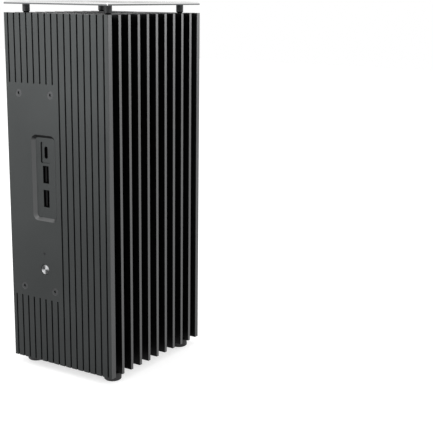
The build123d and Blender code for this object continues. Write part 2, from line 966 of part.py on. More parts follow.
def display_stack(height):
    """Stacked HDMI and USB-C socket block on the mainboard."""
    z = foot_z + height
    depth = 20.0
    face = outer_y - usb_c_recess_depth - port_setback
    half_short = hdmi_mouth[1] / 2 - port_clearance
    half_long = hdmi_mouth[0] / 2 - port_clearance
    with BuildPart() as stack:
        span_box(
            (board_right_face, stack_hdmi_offset + half_short),
            (inner_y - 0.2, inner_y - depth),
            (z - half_long, z + half_long),
        )
        span_box(
            (stack_hdmi_offset - half_short, stack_hdmi_offset + half_short),
            (face, inner_y - 0.2),
            (z - half_long, z + half_long),
        )
        span_box(
            (stack_hdmi_offset - half_short + shell_wall, stack_hdmi_offset + half_short - shell_wall),
            (face, face - 11.0),
            (z - half_long + shell_wall, z + half_long - shell_wall),
            Mode.SUBTRACT,
        )
        usb_c_shell(1, stack_usb_c_offset, height, face, depth / 2)
    return stack.part


def rear_usb_stack():
    """Double USB-A socket block on the mainboard."""
    z = foot_z + rear_usb_height
    half_long = usb_a_mouth[0] / 2 - port_clearance
    half_short = usb_a_mouth[1] / 2 - port_clearance
    face = outer_y - port_setback
    with BuildPart() as stack:
        span_box(
            (board_right_face, rear_usb_offsets[1] + half_short),
            (inner_y - 0.2, face - 17.0),
            (z - half_long, z + half_long),
        )
        for x in rear_usb_offsets:
            usb_a_shell(1, x, rear_usb_height, face, 17.0)
    return stack.part


def network_jack():
    """Network socket block with its stepped mouth."""
    x, height = network_place
    z = foot_z + height
    face = inner_y - 0.2
    with BuildPart() as jack:
        span_box((board_right_face, x + 7.0), (face, face - 18.0), (z - 8.0, z + 8.0))
        span_box((x - 4.1, x + 2.6), (face, face - 13.0), (z - 5.9, z + 5.9), Mode.SUBTRACT)
        span_box((x - 0.1, x + 4.2), (face, face - 13.0), (z - 3.1, z + 3.1), Mode.SUBTRACT)
    return jack.part


def dc_jack():
    """Power socket on the mainboard."""
    x, height = dc_place
    z = foot_z + height
    face = outer_y - port_setback
    with BuildPart() as jack:
        span_box((board_right_face, x + 4.6), (inner_y - 0.2, inner_y - 14.0), (z - 4.6, z + 4.6))
        with BuildSketch(face_plane(1, face)):
            with Locations((-x, z)):
                Circle(dc_mouth_radius)
        extrude(amount=-panel_thickness)
        with Locations(face_plane(1, face)):
            with Locations((-x, z)):
                Hole(dc_mouth_radius - 0.45, 13.0)
    return jack.part


def dc_pin():
    x, height = dc_place
    face = outer_y - port_setback
    with BuildPart() as pin:
        with BuildSketch(face_plane(1, face - 13.0)):
            with Locations((-x, foot_z + height)):
                Circle(1.0)
        extrude(amount=12.0)
        fillet(pin.edges().group_by(Axis.Y)[-1], 0.5)
    return pin.part


def rear_port_tongues():
    with BuildPart() as tongues:
        face = outer_y - port_setback
        z = foot_z + rear_usb_height
        for x in rear_usb_offsets:
            span_box((x - 1.9, x - 0.1), (face - 1.0, face - 14.0), (z - 5.6, z + 5.6))
        face = outer_y - usb_c_recess_depth - port_setback
        for height in stack_heights:
            z = foot_z + height
            x = stack_hdmi_offset
            span_box((x - 0.9, x + 0.5), (face - 1.0, face - 11.0), (z - 5.5, z + 5.5))
            x = stack_usb_c_offset
            span_box((x - 0.35, x + 0.35), (face - 1.0, face - 8.5), (z - 3.3, z + 3.3))
    return tongues.part


pieces = {
    "front_panel": front_panel(),
    "rear_panel": rear_panel(),
    "left_heatsink": heatsink(-1),
    "right_heatsink": heatsink(1),
    "front_lower_brace": brace(-1, False),
    "front_upper_brace": brace(-1, True),
    "rear_lower_brace": brace(1, False),
    "rear_upper_brace": brace(1, True),
    "lower_divider": divider(False),
    "upper_divider": divider(True),
    "divider_screws": divider_screws(),
    "top_grille": top_grille(),
    "grille_posts": grille_posts(),
    "grille_screws": grille_screws(),
    "front_panel_screws": panel_screws(-1),
    "rear_panel_screws": panel_screws(1),
    "foot_front_left": foot(-1, -1),
    "foot_front_right": foot(1, -1),
    "foot_rear_left": foot(-1, 1),
    "foot_rear_right": foot(1, 1),
    "foot_screws": foot_screws(),
    "power_button": power_button(),
    "button_retainer": button_retainer(),
    "switch_plunger": switch_plunger(),
    "power_switch": power_switch(),
    "light_pipe": light_pipe(),
    "status_led": status_led(),
    "front_io_board": front_io_board(),
    "io_standoffs": io_standoffs(),
    "io_screws": io_screws(),
    "front_usb_a_ports": front_usb_a_ports(),
    "front_usb_c_port": front_usb_c_port(),
    "front_port_tongues": front_port_tongues(),
    "mainboard": mainboard(),
    "board_standoffs": board_standoffs(),
    "board_screws": board_screws(),
    "cpu_package": cpu_package(),
    "cpu_pad": cpu_pad(),
    "heat_block": heat_block(),
    "sink_pad": sink_pad(),
    "block_screws": block_screws(),
    "memory_socket_lower": memory_socket(lower_socket_y, lower_socket_height),
    "memory_socket_upper": memory_socket(upper_socket_y, upper_socket_height),
    "memory_module_lower": memory_module(lower_socket_y, lower_socket_height),
    "memory_module_upper": memory_module(upper_socket_y, upper_socket_height),
    "ssd_socket": ssd_socket(),
    "ssd_card": ssd_card(),
    "ssd_standoff": ssd_standoff(),
    "ssd_screw": ssd_screw(),
    "wifi_module": wifi_module(),
    "coin_cell": coin_cell(),
    "board_headers": board_headers(),
    "front_cable": front_cable(),
    "display_stack_upper": display_stack(stack_heights[0]),
    "display_stack_lower": display_stack(stack_heights[1]),
    "rear_usb_stack": rear_usb_stack(),
    "network_jack": network_jack(),
    "dc_jack": dc_jack(),
    "dc_pin": dc_pin(),
    "rear_port_tongues": rear_port_tongues(),
}

os.makedirs("parts", exist_ok=True)
for name, part in pieces.items():
    part.label = name
    export_step(part, f"parts/{name}.step")
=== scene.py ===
import bmesh
import bpy
import json
import math
from mathutils import Matrix, Vector


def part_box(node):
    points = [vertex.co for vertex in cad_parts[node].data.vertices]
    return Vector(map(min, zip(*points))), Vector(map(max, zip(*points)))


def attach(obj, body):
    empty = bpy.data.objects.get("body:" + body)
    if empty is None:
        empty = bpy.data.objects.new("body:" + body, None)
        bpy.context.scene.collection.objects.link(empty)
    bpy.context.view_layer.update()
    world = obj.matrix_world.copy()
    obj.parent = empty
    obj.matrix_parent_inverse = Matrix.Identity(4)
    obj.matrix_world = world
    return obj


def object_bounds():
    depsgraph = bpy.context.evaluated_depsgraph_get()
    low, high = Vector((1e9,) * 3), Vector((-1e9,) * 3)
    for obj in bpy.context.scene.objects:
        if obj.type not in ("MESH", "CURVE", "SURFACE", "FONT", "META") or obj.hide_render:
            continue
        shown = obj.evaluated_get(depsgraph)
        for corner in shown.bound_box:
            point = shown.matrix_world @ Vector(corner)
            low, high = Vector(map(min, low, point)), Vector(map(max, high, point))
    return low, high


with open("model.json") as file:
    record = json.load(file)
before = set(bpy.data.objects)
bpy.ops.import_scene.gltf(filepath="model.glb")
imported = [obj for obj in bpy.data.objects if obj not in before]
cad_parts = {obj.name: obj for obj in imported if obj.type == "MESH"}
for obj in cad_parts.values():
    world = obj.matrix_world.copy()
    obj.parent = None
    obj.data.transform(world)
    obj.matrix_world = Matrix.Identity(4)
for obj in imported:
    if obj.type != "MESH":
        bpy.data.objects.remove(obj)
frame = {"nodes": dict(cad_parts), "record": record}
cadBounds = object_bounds()
nodes = frame["nodes"]
slotOf = {part["node"]: part["material_slot"] for part in frame["record"]["subparts"]}
print("frame loaded:", len(nodes), "nodes")


# node helpers, for materials and for geometry

def feed(tree, node, values):
    # a value is either a plain value or the output of another node
    for key, value in values.items():
        if isinstance(value, bpy.types.NodeSocket):
            tree.links.new(value, node.inputs[key])
        else:
            node.inputs[key].default_value = value
    return node


def addNode(tree, kind, settings=None, **values):
    node = tree.nodes.new(kind)
    for key, value in (settings or {}).items():
        setattr(node, key, value)
    return feed(tree, node, values)


def startMaterial(name, **inputs):
    material = bpy.data.materials.new(name)
    material.use_nodes = True
    tree = material.node_tree
    shader = tree.nodes["Principled BSDF"]
    feed(tree, shader, {key.replace("_", " "): value for key, value in inputs.items()})
    return material, tree, shader


def finish(tree, shader, colour, roughness, surface):
    feed(tree, shader, {"Base Color": colour, "Roughness": roughness, "Normal": surface})


def objectPoint(tree, stretch=(1, 1, 1), centre=(0, 0, 0)):
    # the piece's own coordinates, moved to a centre and then stretched
    coords = addNode(tree, "ShaderNodeTexCoord")
    offset = [-value for value in centre]
    move = addNode(tree, "ShaderNodeMapping", Vector=coords.outputs["Object"], Location=offset)
    return addNode(tree, "ShaderNodeMapping", Vector=move.outputs["Vector"], Scale=stretch).outputs["Vector"]


def objectNormal(tree):
    return addNode(tree, "ShaderNodeTexCoord").outputs["Normal"]


def noise(tree, vector, scale, detail=2.0):
    return addNode(tree, "ShaderNodeTexNoise", Vector=vector, Scale=scale, Detail=detail).outputs[0]


def remap(tree, value, fromLow, fromHigh, toLow, toHigh):
    node = addNode(tree, "ShaderNodeMapRange")
    feed(tree, node, dict(enumerate((value, fromLow, fromHigh, toLow, toHigh))))
    return node.outputs[0]


def spread(tree, value, toLow, toHigh):
    # most of a noise lies between 0.3 and 0.7
    return remap(tree, value, 0.3, 0.7, toLow, toHigh)


def calculate(tree, operation, *values):
    node = addNode(tree, "ShaderNodeMath", {"operation": operation})
    return feed(tree, node, dict(enumerate(values))).outputs[0]


def mixColour(tree, factor, first, second):
    node = addNode(tree, "ShaderNodeMix", {"data_type": "RGBA"})
    tree.links.new(factor, node.inputs[0])
    places = [place for place, socket in enumerate(node.inputs) if socket.type == "RGBA"]
    for place, value in zip(places, (first, second)):
        feed(tree, node, {place: (*value[:3], 1) if isinstance(value, tuple) else value})
    return [socket for socket in node.outputs if socket.type == "RGBA"][0]


def mixValue(tree, factor, first, second):
    node = addNode(tree, "ShaderNodeMix", {"data_type": "FLOAT"})
    return feed(tree, node, {0: factor, 2: first, 3: second}).outputs[0]


def bump(tree, height, depth, under=None):
    node = addNode(tree, "ShaderNodeBump", Height=height, Distance=depth, Strength=1.0)
    if under is not None:
        feed(tree, node, {"Normal": under})
    return node.outputs["Normal"]


def axisOf(tree, vector, axis):
    return addNode(tree, "ShaderNodeSeparateXYZ", Vector=vector).outputs[axis]


def radius(tree, point, axis):
    # distance from an axis through the point's own zero
    others = [axisOf(tree, point, side) for side in range(3) if side != axis]
    squares = [calculate(tree, "MULTIPLY", value, value) for value in others]
    return calculate(tree, "SQRT", calculate(tree, "ADD", *squares))


def shade(tone, share):
    return tuple(min(1.0, value * share) for value in tone)


# finish builders

def addEdges(tree, edge, colour, roughness):
    # the narrow sloped faces that a cutter leaves along an edge
    normal = objectNormal(tree)
    sides = [calculate(tree, "ABSOLUTE", axisOf(tree, normal, axis)) for axis in range(3)]
    flattest = calculate(tree, "MAXIMUM", calculate(tree, "MAXIMUM", sides[0], sides[1]), sides[2])
    sloped = calculate(tree, "LESS_THAN", flattest, 0.9)
    cutter = noise(tree, objectPoint(tree, (1, 1, 6)), 1500, 1)
    edgeTone = mixColour(tree, cutter, shade(edge["tone"], 0.88), edge["tone"])
    if "under" in edge:
        # painted shade and highlight: bevels that look down or to -X take the dark under tone as painted
        # shade, the others the light edge tone as a painted highlight, as light from above would fall
        sideways = calculate(tree, "MULTIPLY", axisOf(tree, normal, 0), 0.35)
        lean = calculate(tree, "ADD", axisOf(tree, normal, 2), sideways)
        edgeTone = mixColour(tree, remap(tree, lean, -0.2, 0.7, 0, 1), edge["under"], edgeTone)
    colour = mixColour(tree, calculate(tree, "MULTIPLY", sloped, edge["share"]), colour, edgeTone)
    return colour, mixValue(tree, sloped, roughness, edge["rough"])


def addCutFaces(tree, point, faces, colour, roughness):
    # paler strips: the fin tips on +X and -X, bare machined metal lightened further by a painted highlight,
    # and the sawn ends on +Z and -Z
    across = calculate(tree, "ABSOLUTE", axisOf(tree, point, 0))
    rise = calculate(tree, "ABSOLUTE", calculate(tree, "SUBTRACT", axisOf(tree, point, 2), faces["middle"]))
    tips = calculate(tree, "GREATER_THAN", across, faces["side"] - faces["margin"])
    ends = calculate(tree, "GREATER_THAN", rise, faces["half"] - faces["margin"])
    lines = noise(tree, objectPoint(tree, (1, 1, 0.35)), 2600, 2)
    # the tip tone is partly bare metal and partly a painted highlight
    tipAndHighlightTone = mixColour(tree, lines, shade(faces["tip"], 0.8), shade(faces["tip"], 1.2))
    endTone = mixColour(tree, lines, shade(faces["end"], 0.75), shade(faces["end"], 1.25))
    colour = mixColour(tree, ends, mixColour(tree, tips, colour, tipAndHighlightTone), endTone)
    cut = calculate(tree, "MAXIMUM", tips, ends)
    return colour, mixValue(tree, cut, roughness, spread(tree, lines, 0.3, 0.4))


def anodised(name, tone, rough, grain=1900, lines=None, edge=None, cutFaces=None):
    # blasted or extruded aluminium with a dyed oxide layer
    material, tree, shader = startMaterial(name, Metallic=1.0)
    point = objectPoint(tree)
    grains = noise(tree, objectPoint(tree, lines) if lines else point, grain, 3)
    clouds = spread(tree, noise(tree, point, 16, 2), 0, 1)
    colour = mixColour(tree, clouds, shade(tone, 0.9), shade(tone, 1.1))
    colour = mixColour(tree, remap(tree, grains, 0.35, 0.7, 0, 0.35), colour, shade(tone, 1.5))
    roughness = spread(tree, grains, rough - 0.05, rough + 0.07)
    if cutFaces:
        colour, roughness = addCutFaces(tree, point, cutFaces, colour, roughness)
    if edge:
        colour, roughness = addEdges(tree, edge, colour, roughness)
    finish(tree, shader, colour, roughness, bump(tree, grains, 0.000012))
    return material


def turned(name, tone, rough, axis, centre=None, pitch=0.00022):
    # lathe marks: rings round an axis, or bands along it where no centre is given
    material, tree, shader = startMaterial(name, Metallic=1.0)
    point = objectPoint(tree, centre=centre or (0, 0, 0))
    reach = radius(tree, point, axis) if centre else axisOf(tree, point, axis)
    rings = calculate(tree, "SINE", calculate(tree, "MULTIPLY", reach, 2 * math.pi / pitch))
    wear = noise(tree, point, 700, 3)
    colour = mixColour(tree, spread(tree, wear, 0, 1), shade(tone, 0.82), shade(tone, 1.12))
    surface = bump(tree, rings, 0.00001, bump(tree, wear, 0.000005))
    finish(tree, shader, colour, spread(tree, wear, rough - 0.04, rough + 0.08), surface)
    return material


def spunFaceAndSheen(name, tone, rough, axis, centre, turn, sheenContrast, pitch=0.00016):
    # a face turned on a lathe, crossed by fine rings; its two bright and two dark sectors are a painted
    # highlight and painted shade standing in for the sheen of spun metal
    material, tree, shader = startMaterial(name, Metallic=1.0, Anisotropic=0.7)
    point = objectPoint(tree, centre=centre)
    first, second = [axisOf(tree, point, side) for side in range(3) if side != axis]
    angle = calculate(tree, "ADD", calculate(tree, "ARCTAN2", second, first), turn)
    # painted highlight and painted shade: the colour turns bright and dark by angle round the axis
    paintedSheenSector = remap(tree, calculate(tree, "SINE", calculate(tree, "MULTIPLY", angle, 2.0)), -0.45, 0.75, 0, 1)
    reach = radius(tree, point, axis)
    rings = calculate(tree, "SINE", calculate(tree, "MULTIPLY", reach, 2 * math.pi / pitch))
    wear = noise(tree, point, 900, 3)
    colour = mixColour(tree, paintedSheenSector, shade(tone, 1 - sheenContrast), shade(tone, 1 + sheenContrast))
    colour = mixColour(tree, remap(tree, wear, 0.3, 0.8, 0, 0.3), colour, shade(tone, 0.7))
    tangent = addNode(tree, "ShaderNodeTangent", {"direction_type": "RADIAL", "axis": "XYZ"[axis]})
    feed(tree, shader, {"Tangent": tangent.outputs[0]})
    finish(tree, shader, colour, spread(tree, wear, rough - 0.04, rough + 0.08), bump(tree, rings, 0.000008))
    return material


def stamped(name, tone, rough, grainAxis=1, depth=0.000004):
    # rolled sheet or machined metal with fine lines along one axis
    stretch = [1, 1, 1]
    stretch[grainAxis] = 0.03
    material, tree, shader = startMaterial(name, Metallic=1.0)
    lines = noise(tree, objectPoint(tree, stretch), 3200, 2)
    stains = noise(tree, objectPoint(tree), 120, 3)
    colour = mixColour(tree, spread(tree, stains, 0, 1), shade(tone, 0.85), shade(tone, 1.1))
    colour = mixColour(tree, remap(tree, lines, 0.4, 0.8, 0, 0.5), colour, shade(tone, 0.7))
    finish(tree, shader, colour, spread(tree, lines, rough - 0.05, rough + 0.1), bump(tree, lines, depth))
    return material


def moulded(name, tone, rough, grain=1700, depth=0.00002, dust=0.15, specular=0.5):
    # moulded plastic, rubber, powder coat and silicone: a fine pebbled skin
    material, tree, shader = startMaterial(name, Specular_IOR_Level=specular)
    point = objectPoint(tree)
    pebbles = noise(tree, point, grain, 4)
    patches = noise(tree, point, 60, 3)
    colour = mixColour(tree, remap(tree, patches, 0.3, 0.75, 0, 1), shade(tone, 0.9), shade(tone, 1 + dust))
    colour = mixColour(tree, remap(tree, pebbles, 0.5, 0.8, 0, 0.5), colour, shade(tone, 1 + 2 * dust))
    roughness = spread(tree, pebbles, rough - 0.06, rough + 0.06)
    finish(tree, shader, colour, roughness, bump(tree, pebbles, depth))
    return material


def circuitBoard(name, chipsFrom=None):
    # solder mask over tracks, with plated holes; beyond chipsFrom, along X, it is chip packages
    mask, copper, package = (0.008, 0.03, 0.022), (0.75, 0.56, 0.26), (0.016, 0.016, 0.017)
    material, tree, shader = startMaterial(name, Specular_IOR_Level=0.5)
    point = objectPoint(tree)
    face = addNode(tree, "ShaderNodeCombineXYZ")  # the boards stand in the YZ plane
    feed(tree, face, {0: axisOf(tree, point, 2), 1: axisOf(tree, point, 1)})
    weave = {"offset": 0.37, "squash": 1.6, "squash_frequency": 3}
    tracks = addNode(tree, "ShaderNodeTexBrick", weave, Vector=face.outputs[0], Scale=240)
    black, white = (0, 0, 0, 1), (1, 1, 1, 1)
    feed(tree, tracks, {"Color1": black, "Color2": black, "Mortar": white, "Mortar Size": 0.03})
    holes = addNode(tree, "ShaderNodeTexVoronoi", Vector=face.outputs[0], Scale=330, Randomness=0.8)
    plated = calculate(tree, "LESS_THAN", holes.outputs["Distance"], 0.13)
    patches = noise(tree, point, 55, 2)
    trackShare = calculate(tree, "MULTIPLY", tracks.outputs["Fac"], remap(tree, patches, 0.42, 0.5, 0, 1))
    colour = mixColour(tree, spread(tree, patches, 0, 1), shade(mask, 0.85), shade(mask, 1.15))
    colour = mixColour(tree, trackShare, colour, shade(mask, 2.4))
    colour = mixColour(tree, plated, colour, copper)
    if chipsFrom is not None:
        chips = calculate(tree, "GREATER_THAN", axisOf(tree, point, 0), chipsFrom)
        colour = mixColour(tree, chips, colour, package)
        plated = calculate(tree, "MULTIPLY", plated, calculate(tree, "SUBTRACT", 1.0, chips))
    feed(tree, shader, {"Metallic": plated})
    finish(tree, shader, colour, spread(tree, patches, 0.32, 0.42), bump(tree, trackShare, 0.00003))
    return material


def ribbonCable(name, tone, wirePitch):
    # flat cable: one ridge per wire across its width, which lies along Z, and a red first wire
    material, tree, shader = startMaterial(name)
    height = axisOf(tree, objectPoint(tree, centre=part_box("front_cable")[0]), 2)
    wave = calculate(tree, "SINE", calculate(tree, "MULTIPLY", height, math.pi / wirePitch))
    ridges = calculate(tree, "ABSOLUTE", wave)
    scuffs = noise(tree, objectPoint(tree), 300, 3)
    first = calculate(tree, "LESS_THAN", height, wirePitch)
    colour = mixColour(tree, scuffs, shade(tone, 0.85), shade(tone, 1.1))
    # painted shade: the grooves between the wires are darkened
    colour = mixColour(tree, remap(tree, ridges, 0, 0.4, 0.6, 0), colour, shade(tone, 0.45))
    colour = mixColour(tree, first, colour, (0.35, 0.03, 0.03))
    finish(tree, shader, colour, 0.45, bump(tree, ridges, 0.00025))
    return material


# finishes by the record's slot

caseTones = {
    "panel": (0.034, 0.036, 0.036),
    # the panel's sides and ends: machined metal, and lighter still as a painted highlight
    "panelEndAndHighlight": (0.074, 0.075, 0.076),
    "heatsink": (0.012, 0.012, 0.0125),
    # the fin tips: machined metal, and lighter still as a painted highlight
    "finTipAndHighlight": (0.092, 0.092, 0.093),
    "sawnEnd": (0.085, 0.086, 0.087),
    "brace": (0.03, 0.031, 0.032),
    "grille": (0.06, 0.062, 0.063),
    "brightEdge": (0.9, 0.9, 0.9),
    # the panel's cut bevels, made lighter as a painted highlight
    "cutEdgeHighlight": (0.19, 0.192, 0.193),
    # painted shade on the panel's bevels that look down or to -X
    "underEdge": (0.01, 0.01, 0.0105),
}
bodyFoot, bodyTop = [corner.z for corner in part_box("left_heatsink")]
sinkFaces = {
    "tip": caseTones["finTipAndHighlight"], "end": caseTones["sawnEnd"], "margin": 0.00006, "side": cadBounds[1].x,
    "middle": (bodyFoot + bodyTop) / 2, "half": (bodyTop - bodyFoot) / 2,
}
panelFaces = {**sinkFaces, "tip": caseTones["panelEndAndHighlight"], "end": caseTones["panelEndAndHighlight"]}
# the panel's bevels: a painted highlight on those leaning up, painted shade on those looking down
panelEdge = {"tone": caseTones["cutEdgeHighlight"], "under": caseTones["underEdge"], "share": 0.8, "rough": 0.36}
grilleEdge = {"tone": caseTones["brightEdge"], "share": 1.0, "rough": 0.22}
drawnLines = (1, 1, 0.015)  # extrusion lines run along Z
threadPitch = 0.00035


def middleOf(name):
    boxLow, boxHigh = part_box(name)
    return (boxLow + boxHigh) / 2


finishes = {
    "panel": anodised("panelAnodised", caseTones["panel"], 0.42, edge=panelEdge, cutFaces=panelFaces),
    "heatsink": anodised(
        "sinkAnodised", caseTones["heatsink"], 0.45, grain=1500, lines=drawnLines, cutFaces=sinkFaces),
    "brace": anodised(
        "braceAnodised", caseTones["brace"], 0.45, grain=1500, lines=drawnLines, cutFaces=sinkFaces),
    "divider": moulded("powderCoat", (0.016, 0.016, 0.017), 0.6, grain=900, depth=0.00006),
    "grille": anodised("grilleAnodised", caseTones["grille"], 0.4, edge=grilleEdge),
    "post": turned("postTurned", (0.05, 0.051, 0.052), 0.4, axis=2),
    "dark_screw": turned("darkZinc", (0.05, 0.051, 0.052), 0.38, axis=1, pitch=threadPitch),
    "black_screw": turned("blackOxide", (0.02, 0.02, 0.021), 0.42, axis=2, pitch=threadPitch),
    "steel_screw": turned("plainSteel", (0.5, 0.5, 0.51), 0.28, axis=0, pitch=threadPitch),
    "foot_rubber": moulded(
        "footRubber", (0.014, 0.014, 0.0145), 0.72, grain=1100, depth=0.00005, dust=0.3, specular=0.35),
    "button_metal": spunFaceAndSheen(
        "buttonSpunAndSheen", (0.22, 0.223, 0.227), 0.26, axis=1, centre=middleOf("power_button"), turn=-0.1,
        sheenContrast=0.85),
    "black_plastic": moulded("blackMoulded", (0.004, 0.004, 0.0042), 0.55, specular=0.06),
    "white_plastic": moulded("whiteMoulded", (0.72, 0.71, 0.67), 0.42, dust=0.05),
    "clear_plastic": moulded(
        "lightPipe", (0.012, 0.0125, 0.014), 0.3, depth=0.00001, dust=0.1, specular=0.15),
    "steel_shell": stamped("stampedSteel", (0.52, 0.52, 0.53), 0.27),
    "black_shell": stamped("blackNickel", (0.005, 0.005, 0.0055), 0.4),
    "circuit_board": circuitBoard("boardMask"),
    "chip_black": moulded("chipPackage", (0.028, 0.028, 0.03), 0.4, grain=2600, depth=0.000015),
    "brass_standoff": stamped("brassMachined", (0.72, 0.53, 0.24), 0.3, grainAxis=0),
    "brass_pin": turned(
        "brassTurned", (0.78, 0.6, 0.28), 0.22, axis=1, centre=middleOf("dc_pin"), pitch=0.0002),
    "bare_aluminium": stamped("milledAluminium", (0.7, 0.7, 0.71), 0.3, grainAxis=2, depth=0.00001),
    "thermal_pad": moulded("thermalPad", (0.3, 0.34, 0.4), 0.62, grain=1400, depth=0.00004),
    "cable_jacket": ribbonCable("ribbonJacket", (0.5, 0.5, 0.49), wirePitch=0.00127),
}

# cards whose chips are part of the same piece: how far the chips stand out
chipHeights = {"memory_module_lower": 0.00095, "memory_module_upper": 0.00095, "ssd_card": 0.00105}
nodeFinishes = {"wifi_module": finishes["steel_shell"]}
for cardName, chipHeight in chipHeights.items():
    nodeFinishes[cardName] = circuitBoard(cardName + "Mask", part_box(cardName)[1].x - chipHeight)
for nodeName, cadObject in nodes.items():
    cadObject.data.materials.clear()
    cadObject.data.materials.append(nodeFinishes.get(nodeName, finishes[slotOf[nodeName]]))
print("finishes set:", len(finishes))


# geometry nodes helpers

def startTree(name, numbers):
    tree = bpy.data.node_groups.new(name, "GeometryNodeTree")
    tree.interface.new_socket("Geometry", in_out="OUTPUT", socket_type="NodeSocketGeometry")
    kinds = {int: "NodeSocketInt", float: "NodeSocketFloat", tuple: "NodeSocketVector"}
    for label, value in numbers.items():
        socket = tree.interface.new_socket(label, in_out="INPUT", socket_type=kinds[type(value)])
        socket.default_value = value
    return tree, tree.nodes.new("NodeGroupInput"), tree.nodes.new("NodeGroupOutput")


def finishTree(tree, geometry, material, result):
    real = addNode(tree, "GeometryNodeRealizeInstances", Geometry=geometry)
    paint = addNode(tree, "GeometryNodeSetMaterial", Geometry=real.outputs["Geometry"], Material=material)
    tree.links.new(paint.outputs["Geometry"], result.inputs["Geometry"])


def runTree(name, tree, rows, body):
    # the tree runs once for each row of values, and the results become one plain mesh on one body
    gathered = bmesh.new()
    for values in rows:
        carrier = bpy.data.objects.new("carrier", bpy.data.meshes.new("carrier"))
        bpy.context.scene.collection.objects.link(carrier)
        modifier = carrier.modifiers.new("build", "NODES")
        modifier.node_group = tree
        for item in tree.interface.items_tree:
            if item.in_out == "INPUT" and item.name in values:
                modifier[item.identifier] = values[item.name]
        evaluated = carrier.evaluated_get(bpy.context.evaluated_depsgraph_get())
        part = bpy.data.meshes.new_from_object(evaluated)
        gathered.from_mesh(part)
        material = part.materials[-1]
        bpy.data.objects.remove(carrier)
        bpy.data.meshes.remove(part)
    for face in gathered.faces:
        face.material_index = 0
    bmesh.ops.recalc_face_normals(gathered, faces=gathered.faces)
    mesh = bpy.data.meshes.new(name)
    gathered.to_mesh(mesh)
    gathered.free()
    mesh.materials.append(material)
    piece = bpy.data.objects.new(name, mesh)
    bpy.context.scene.collection.objects.link(piece)
    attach(piece, body)


# rows of contacts in the sockets

def contactTree(material):
    # a row of sprung strips along Z, each bowed out to +X or -X near its tip
    tree, given, result = startTree("contactRow", {
        "Count": 4, "Pitch": 0.002, "Width": 0.001, "Thickness": 0.00015, "Length": 0.007, "Bow": 0.0004,
        "Start": (0.0, 0.0, 0.0)})
    bend = {"Start": (0, 0), "Start Handle": (0.2, 1.3), "End Handle": (0.5, 0), "End": (1, 0)}
    path = addNode(tree, "GeometryNodeCurvePrimitiveBezierSegment", Resolution=8)
    for end, (along, out) in bend.items():
        spot = addNode(tree, "ShaderNodeCombineXYZ")
        feed(tree, spot, {0: calculate(tree, "MULTIPLY", given.outputs["Bow"], out)})
        feed(tree, spot, {1: calculate(tree, "MULTIPLY", given.outputs["Length"], along)})
        feed(tree, path, {end: spot.outputs[0]})
    profile = addNode(tree, "GeometryNodeCurvePrimitiveQuadrilateral")
    feed(tree, profile, {"Width": given.outputs["Thickness"], "Height": given.outputs["Width"]})
    upright = addNode(tree, "GeometryNodeSetCurveNormal", {"mode": "Z_UP"}, Curve=path.outputs["Curve"])
    strip = addNode(tree, "GeometryNodeCurveToMesh", Curve=upright.outputs["Curve"])
    feed(tree, strip, {"Profile Curve": profile.outputs["Curve"], "Fill Caps": True})
    step = feed(tree, addNode(tree, "ShaderNodeCombineXYZ"), {2: given.outputs["Pitch"]})
    row = addNode(tree, "GeometryNodeMeshLine", {"mode": "OFFSET"}, Count=given.outputs["Count"])
    feed(tree, row, {"Start Location": given.outputs["Start"], "Offset": step.outputs[0]})
    copies = addNode(tree, "GeometryNodeInstanceOnPoints", Points=row.outputs["Mesh"])
    feed(tree, copies, {"Instance": strip.outputs["Mesh"]})
    finishTree(tree, copies.outputs["Instances"], material, result)
    return tree


def strips(count, pitch, width, thickness, length, bow):
    return {
        "Count": count, "Pitch": pitch, "Width": width, "Thickness": thickness, "Length": length, "Bow": bow}


def contactRow(sizes, x, tip, height, inward, outward=1):
    # inward is +1 where the socket runs to +Y behind its mouth, outward the side the strips bow to
    half = (sizes["Count"] - 1) * sizes["Pitch"] / 2
    start = (x + outward * sizes["Thickness"] / 2, tip, height - half)
    return {**sizes, "Length": sizes["Length"] * inward, "Bow": sizes["Bow"] * outward, "Start": start}


usbA = {
    "strips": strips(4, 0.0024, 0.0011, 0.00012, 0.0075, 0.0003),
    "shellHeight": 0.0128, "tongue": 0.0018, "rearPitch": 0.0089, "frontSetback": 0.00315,
    "rearSetback": 0.00255,
}
usbC = {
    "strips": strips(12, 0.0005, 0.00028, 0.00006, 0.0045, 0.00002),
    "tongueHalf": 0.00035, "frontReach": 0.0015, "rearReach": 0.002, "setback": 0.00135,
}
hdmi = {"strips": strips(10, 0.001, 0.0005, 0.00008, 0.007, 0.00015), "faces": {-1: 0.0122, 1: 0.0136}}
network = {"strips": strips(8, 0.00102, 0.0004, 0.00025, 0.009, 0.0022), "reach": 0.0044, "setback": 0.00185}
displaySetback = 0.00165

